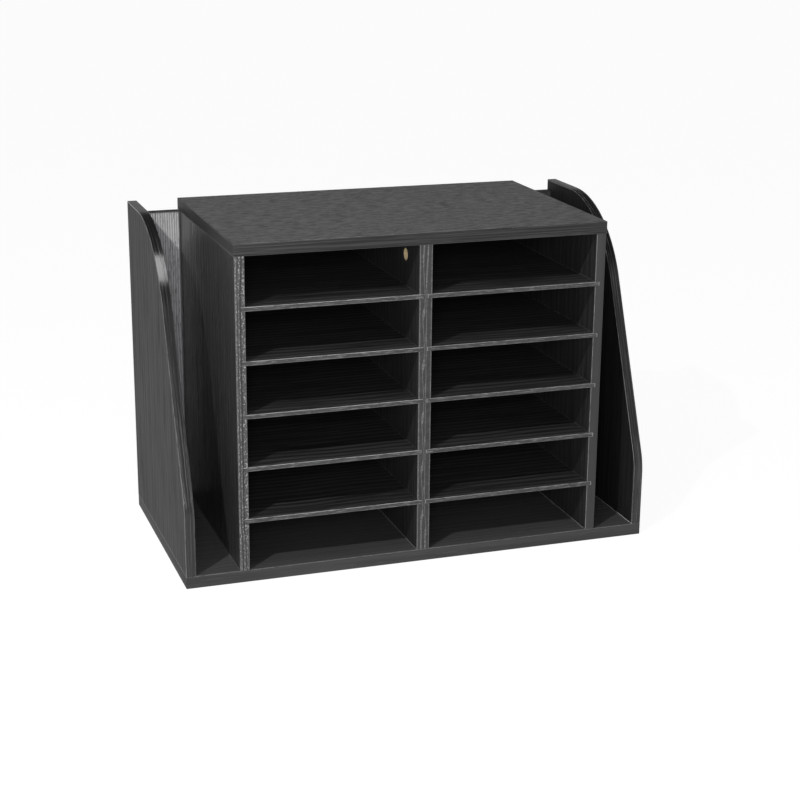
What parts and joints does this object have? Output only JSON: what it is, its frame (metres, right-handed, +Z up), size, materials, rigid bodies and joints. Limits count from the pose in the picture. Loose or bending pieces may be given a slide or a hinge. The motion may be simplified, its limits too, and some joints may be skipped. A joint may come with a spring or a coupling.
{
  "type": "document organizer",
  "caption": "Black wood-grain desk organizer with columns of open paper compartments on sliding shelves and a curved magazine pocket on each side.",
  "frame": {"origin": "middle of the base board's underside", "axes": "+X to the right seen from the front, +Y from the front to the rear, +Z up; the open fronts face -Y"},
  "size_m": [0.59, 0.3, 0.41],
  "materials": {
    "board": "black open-grain laminate on particle board, satin",
    "thin_board": "black wood-grain laminate on thin fibreboard, satin",
    "edge_band": "black edge band with a fine pressed grain, satin",
    "cam_lock": "die-cast metal, yellow passivated, satin",
    "steel": "zinc-plated steel, satin",
    "dowel": "plain beech"
  },
  "bodies": {
    "cabinet": {"base_board": "board", "base_edge_band": "edge_band", "top_board": "board", "top_edge_band": "edge_band", "outer_panel_left": "board", "outer_edge_band_left": "edge_band", "outer_panel_right": "board", "outer_edge_band_right": "edge_band", "inner_panel_left": "board", "inner_edge_band_left": "edge_band", "inner_panel_right": "board", "inner_edge_band_right": "edge_band", "centre_divider": "board", "divider_edge_band": "edge_band", "back_panel": "thin_board", "pocket_back_left": "board", "pocket_back_right": "board", "cam_locks": "cam_lock", "cam_bolts": "steel", "wood_dowels": "dowel", "base_screws": "steel"},
    "shelf_left_1": {"shelf_left_1": "thin_board", "shelf_band_left_1": "edge_band"},
    "shelf_left_2": {"shelf_left_2": "thin_board", "shelf_band_left_2": "edge_band"},
    "shelf_left_3": {"shelf_left_3": "thin_board", "shelf_band_left_3": "edge_band"},
    "shelf_left_4": {"shelf_left_4": "thin_board", "shelf_band_left_4": "edge_band"},
    "shelf_left_5": {"shelf_left_5": "thin_board", "shelf_band_left_5": "edge_band"},
    "shelf_right_1": {"shelf_right_1": "thin_board", "shelf_band_right_1": "edge_band"},
    "shelf_right_2": {"shelf_right_2": "thin_board", "shelf_band_right_2": "edge_band"},
    "shelf_right_3": {"shelf_right_3": "thin_board", "shelf_band_right_3": "edge_band"},
    "shelf_right_4": {"shelf_right_4": "thin_board", "shelf_band_right_4": "edge_band"},
    "shelf_right_5": {"shelf_right_5": "thin_board", "shelf_band_right_5": "edge_band"}
  },
  "joints": [
    {"name": "shelf_left_1_slide", "type": "slide", "parent": "cabinet", "child": "shelf_left_1", "axis": [0, -1, 0], "range_m": [0, 0.28]},
    {"name": "shelf_left_2_slide", "type": "slide", "parent": "cabinet", "child": "shelf_left_2", "axis": [0, -1, 0], "range_m": [0, 0.28]},
    {"name": "shelf_left_3_slide", "type": "slide", "parent": "cabinet", "child": "shelf_left_3", "axis": [0, -1, 0], "range_m": [0, 0.28]},
    {"name": "shelf_left_4_slide", "type": "slide", "parent": "cabinet", "child": "shelf_left_4", "axis": [0, -1, 0], "range_m": [0, 0.28]},
    {"name": "shelf_left_5_slide", "type": "slide", "parent": "cabinet", "child": "shelf_left_5", "axis": [0, -1, 0], "range_m": [0, 0.28]},
    {"name": "shelf_right_1_slide", "type": "slide", "parent": "cabinet", "child": "shelf_right_1", "axis": [0, -1, 0], "range_m": [0, 0.28]},
    {"name": "shelf_right_2_slide", "type": "slide", "parent": "cabinet", "child": "shelf_right_2", "axis": [0, -1, 0], "range_m": [0, 0.28]},
    {"name": "shelf_right_3_slide", "type": "slide", "parent": "cabinet", "child": "shelf_right_3", "axis": [0, -1, 0], "range_m": [0, 0.28]},
    {"name": "shelf_right_4_slide", "type": "slide", "parent": "cabinet", "child": "shelf_right_4", "axis": [0, -1, 0], "range_m": [0, 0.28]},
    {"name": "shelf_right_5_slide", "type": "slide", "parent": "cabinet", "child": "shelf_right_5", "axis": [0, -1, 0], "range_m": [0, 0.28]}
  ]
}
